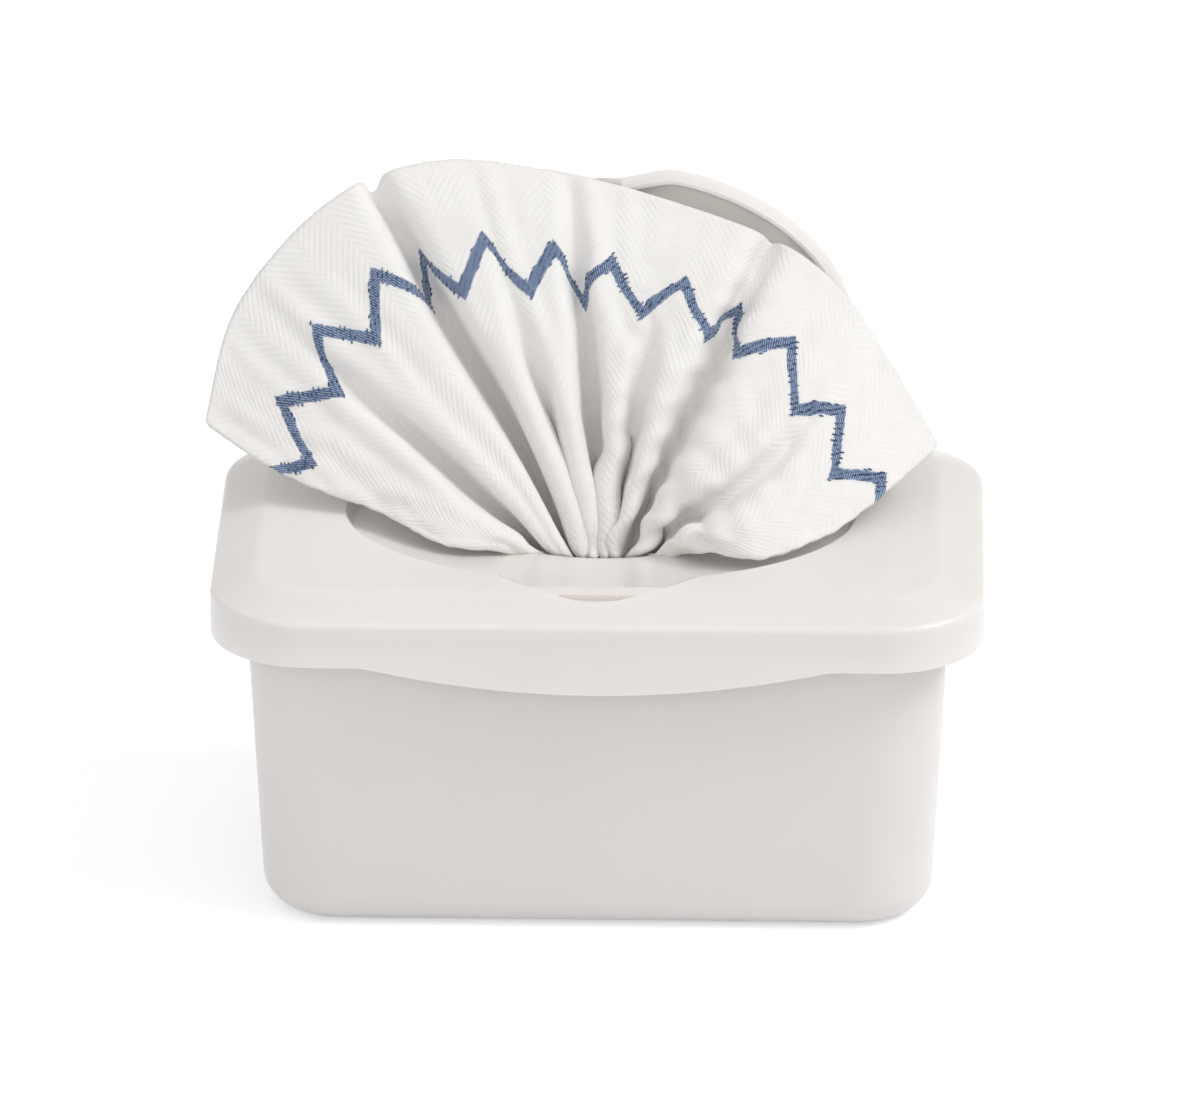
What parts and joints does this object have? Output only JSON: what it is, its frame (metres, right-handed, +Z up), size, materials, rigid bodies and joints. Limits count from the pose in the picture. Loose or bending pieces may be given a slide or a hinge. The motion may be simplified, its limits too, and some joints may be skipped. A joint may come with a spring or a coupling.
{
  "type": "tub of microfiber cloths",
  "caption": "Rounded plastic tub with a push-on lid, an oval flip cap standing open, and soft cloths that pull out through a slot in the lid.",
  "frame": {"origin": "on the floor under the middle of the tub's flat bottom", "axes": "+Z up, +X along the width, front with the finger notch towards -Y"},
  "size_m": [0.2041, 0.124, 0.1759],
  "materials": {
    "tub_plastic": "white moulded plastic, satin gloss",
    "lid_plastic": "white moulded plastic, satin gloss",
    "cloth_white": "white split-fibre fleece knit, matt",
    "stripe_blue": "blue yarn stripe, matt"
  },
  "bodies": {
    "tub": {"tub_body": "tub_plastic", "folded_cloth_01": "cloth_white", "folded_cloth_02": "cloth_white", "folded_cloth_03": "cloth_white", "folded_cloth_04": "cloth_white", "folded_cloth_05": "cloth_white", "folded_cloth_06": "cloth_white", "folded_cloth_07": "cloth_white", "folded_cloth_08": "cloth_white", "folded_cloth_09": "cloth_white", "folded_cloth_10": "cloth_white", "folded_cloth_11": "cloth_white", "folded_cloth_12": "cloth_white"},
    "lid": {"lid": "lid_plastic", "popup_cloth": "cloth_white", "cloth_stripe": "stripe_blue"},
    "cap": {"flip_cap": "lid_plastic"}
  },
  "joints": [
    {"name": "lid_lift", "type": "slide", "parent": "tub", "child": "lid", "axis": [0, 0, 1], "range_m": [0, 0.12]},
    {"name": "cap_hinge", "type": "hinge", "parent": "lid", "child": "cap", "pos_m": [0, 0.038, 0.09515], "axis": [1, 0, 0], "range_deg": [0, 104], "deforming": ["popup_cloth", "cloth_stripe"]}
  ]
}
